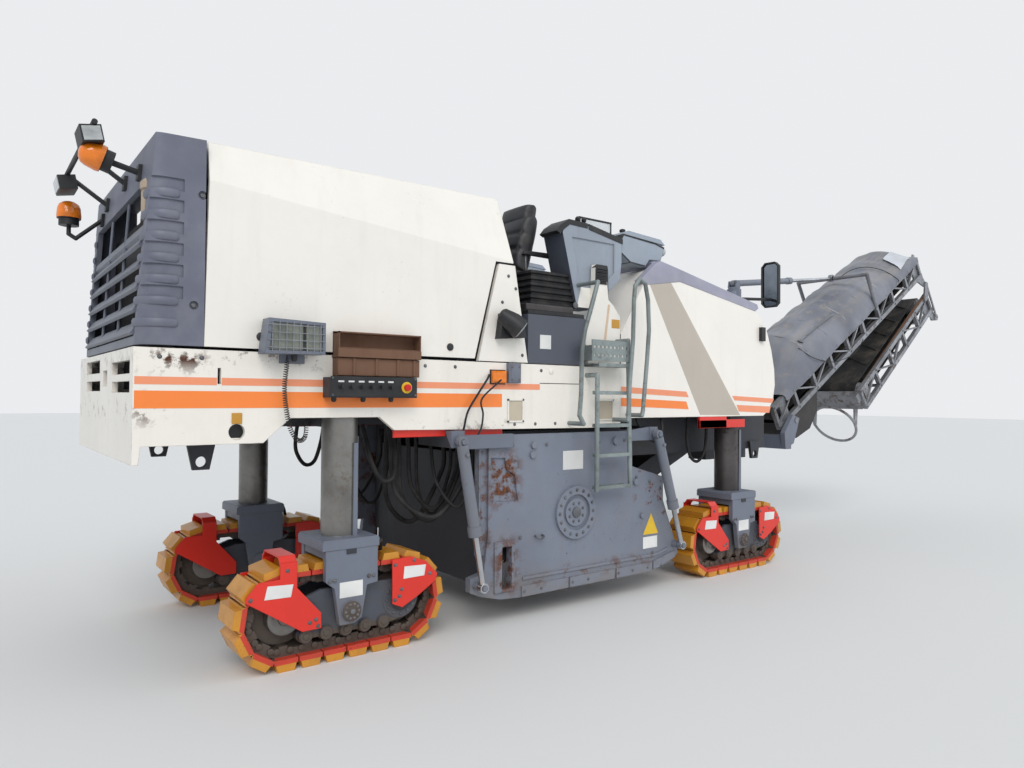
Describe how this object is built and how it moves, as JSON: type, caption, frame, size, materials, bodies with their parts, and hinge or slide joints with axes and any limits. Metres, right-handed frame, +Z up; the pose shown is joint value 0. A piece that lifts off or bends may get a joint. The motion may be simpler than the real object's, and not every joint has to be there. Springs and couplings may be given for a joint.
{
  "type": "cold planer milling machine",
  "caption": "Cold planer on four tracks with a tined milling drum between side plates, a raised operator platform, a rear engine hood and a folding discharge conveyor at the front.",
  "frame": {"origin": "on the ground, below the centre of the machine's bounding box with the conveyor folded", "axes": "+X forward along the machine towards the discharge conveyor, +Y to its left, +Z up"},
  "size_m": [10.0952, 2.193, 3.4657],
  "materials": {
    "white_paint": "chalked, chipped",
    "slate_paint": "satin, scratched",
    "slate_plastic": "grained",
    "frame_black": "oily",
    "seat_black": "worn",
    "console_paint": "satin",
    "galvanised": "dull zinc",
    "black_plastic": "grained",
    "steel": "dull",
    "bright_rod": "polished",
    "track_steel": "rusty",
    "tool_steel": "dusty",
    "belt_rubber": "dusty",
    "tarpaulin": "dusty",
    "lamp_mix": "glossy"
  },
  "bodies": {
    "machine": {"chassis_frame": "frame_black", "engine_block": "frame_black", "rear_skirt": "white_paint", "front_tank": "white_paint", "front_cover": "slate_plastic", "platform": "slate_paint", "seats": "seat_black", "consoles": "console_paint", "ladders": "galvanised", "mirrors": "black_plastic", "side_boxes": "slate_paint", "drum_housing": "slate_paint", "primary_conveyor": "frame_black"},
    "hood": {"engine_hood": "white_paint", "hood_grille": "slate_plastic", "rear_lights": "lamp_mix"},
    "leg_unit_rr": {"leg_rr": "slate_paint", "track_rr": "track_steel"},
    "leg_unit_rl": {"leg_rl": "slate_paint", "track_rl": "track_steel"},
    "leg_unit_fr": {"leg_fr": "slate_paint", "track_fr": "track_steel"},
    "leg_unit_fl": {"leg_fl": "slate_paint", "track_fl": "track_steel"},
    "drum": {"milling_drum": "tool_steel"},
    "moldboard": {"scraper": "slate_paint"},
    "plate_r": {"side_plate_r": "slate_paint"},
    "cyl_r1": {"barrel_r1": "slate_paint"},
    "pist_r1": {"rod_r1": "bright_rod"},
    "cyl_r2": {"barrel_r2": "slate_paint"},
    "pist_r2": {"rod_r2": "bright_rod"},
    "plate_l": {"side_plate_l": "slate_paint"},
    "cyl_l1": {"barrel_l1": "slate_paint"},
    "pist_l1": {"rod_l1": "bright_rod"},
    "cyl_l2": {"barrel_l2": "slate_paint"},
    "pist_l2": {"rod_l2": "bright_rod"},
    "slew": {"slew_yoke": "slate_paint"},
    "conveyor": {"conveyor_frame": "galvanised", "conveyor_belt": "belt_rubber", "conveyor_cover": "tarpaulin"},
    "fold": {"fold_frame": "galvanised", "fold_belt": "belt_rubber"},
    "lift_cyl": {"lift_barrel": "slate_paint"},
    "lift_pist": {"lift_rod": "bright_rod"}
  },
  "joints": [
    {"name": "hood_lift", "type": "hinge", "parent": "machine", "child": "hood", "pos_m": [-2.595, 0, 2.785], "axis": [0, 1, 0], "range_deg": [0, 45]},
    {"name": "steer_rr", "type": "hinge", "parent": "machine", "child": "leg_unit_rr", "pos_m": [-3.68, -0.785, 0.7], "axis": [0, 0, 1], "range_deg": [-18, 18]},
    {"name": "steer_rl", "type": "hinge", "parent": "machine", "child": "leg_unit_rl", "pos_m": [-3.68, 0.785, 0.7], "axis": [0, 0, 1], "range_deg": [-18, 18]},
    {"name": "steer_fr", "type": "hinge", "parent": "machine", "child": "leg_unit_fr", "pos_m": [0.01, -0.785, 0.7], "axis": [0, 0, 1], "range_deg": [-18, 18]},
    {"name": "steer_fl", "type": "hinge", "parent": "machine", "child": "leg_unit_fl", "pos_m": [0.01, 0.785, 0.7], "axis": [0, 0, 1], "range_deg": [-18, 18]},
    {"name": "drum_spin", "type": "hinge", "parent": "machine", "child": "drum", "pos_m": [-1.93, 0, 0.69], "axis": [0, 1, 0], "continuous": true},
    {"name": "moldboard_slide", "type": "slide", "parent": "machine", "child": "moldboard", "axis": [0, 0, 1], "range_m": [-0.15, 0]},
    {"name": "plate_slide_r", "type": "slide", "parent": "machine", "child": "plate_r", "axis": [0, 0, 1], "range_m": [-0.15, 0]},
    {"name": "barrel_r1_swing", "type": "hinge", "parent": "machine", "child": "cyl_r1", "pos_m": [-2.963, -1.015, 1.23], "axis": [0, 1, 0], "range_deg": [-0.5, 5]},
    {"name": "rod_r1_slide", "type": "slide", "parent": "cyl_r1", "child": "pist_r1", "axis": [0.1783, 0, -0.984], "range_m": [-0.01, 0.155]},
    {"name": "barrel_r2_swing", "type": "hinge", "parent": "machine", "child": "cyl_r2", "pos_m": [-1.15, -1.015, 1.23], "axis": [0, 1, 0], "range_deg": [-0.5, 5]},
    {"name": "rod_r2_slide", "type": "slide", "parent": "cyl_r2", "child": "pist_r2", "axis": [0.3033, 0, -0.9529], "range_m": [-0.01, 0.155]},
    {"name": "plate_slide_l", "type": "slide", "parent": "machine", "child": "plate_l", "axis": [0, 0, 1], "range_m": [-0.15, 0]},
    {"name": "barrel_l1_swing", "type": "hinge", "parent": "machine", "child": "cyl_l1", "pos_m": [-2.963, 1.015, 1.23], "axis": [0, 1, 0], "range_deg": [-0.5, 5]},
    {"name": "rod_l1_slide", "type": "slide", "parent": "cyl_l1", "child": "pist_l1", "axis": [0.1783, 0, -0.984], "range_m": [-0.01, 0.155]},
    {"name": "barrel_l2_swing", "type": "hinge", "parent": "machine", "child": "cyl_l2", "pos_m": [-1.15, 1.015, 1.23], "axis": [0, 1, 0], "range_deg": [-0.5, 5]},
    {"name": "rod_l2_slide", "type": "slide", "parent": "cyl_l2", "child": "pist_l2", "axis": [0.3033, 0, -0.9529], "range_m": [-0.01, 0.155]},
    {"name": "conveyor_slew", "type": "hinge", "parent": "machine", "child": "slew", "pos_m": [1.19, 0, 1.1], "axis": [0, 0, 1], "range_deg": [-50, 50]},
    {"name": "conveyor_lift", "type": "hinge", "parent": "slew", "child": "conveyor", "pos_m": [1.586, 0, 1.289], "axis": [0, -1, 0], "range_deg": [-8, 12]},
    {"name": "conveyor_fold", "type": "hinge", "parent": "conveyor", "child": "fold", "pos_m": [4.70181, 0, 3.03571], "axis": [0, -1, 0], "range_deg": [0, 174]},
    {"name": "lift_barrel_swing", "type": "hinge", "parent": "slew", "child": "lift_cyl", "pos_m": [1.19, 0, 2.755], "axis": [0, -1, 0], "range_deg": [-9, 13]},
    {"name": "lift_rod_slide", "type": "slide", "parent": "lift_cyl", "child": "lift_pist", "axis": [0.992, 0, 0.1263], "range_m": [-0.36, 0.24]}
  ],
  "couplings": [
    {"joint": "steer_rl", "follows": "steer_rr", "ratio": 1},
    {"joint": "steer_fl", "follows": "steer_fr", "ratio": 1},
    {"joint": "barrel_r1_swing", "follows": "plate_slide_r", "rad_per_m": -0.16629},
    {"joint": "rod_r1_slide", "follows": "plate_slide_r", "ratio": -0.98576},
    {"joint": "barrel_r2_swing", "follows": "plate_slide_r", "rad_per_m": -0.29016},
    {"joint": "rod_r2_slide", "follows": "plate_slide_r", "ratio": -0.95822},
    {"joint": "barrel_l1_swing", "follows": "plate_slide_l", "rad_per_m": -0.16629},
    {"joint": "rod_l1_slide", "follows": "plate_slide_l", "ratio": -0.98576},
    {"joint": "barrel_l2_swing", "follows": "plate_slide_l", "rad_per_m": -0.29016},
    {"joint": "rod_l2_slide", "follows": "plate_slide_l", "ratio": -0.95822},
    {"joint": "lift_barrel_swing", "follows": "conveyor_lift", "ratio": 0.91698},
    {"joint": "lift_rod_slide", "follows": "conveyor_lift", "m_per_rad": -1.5073}
  ]
}
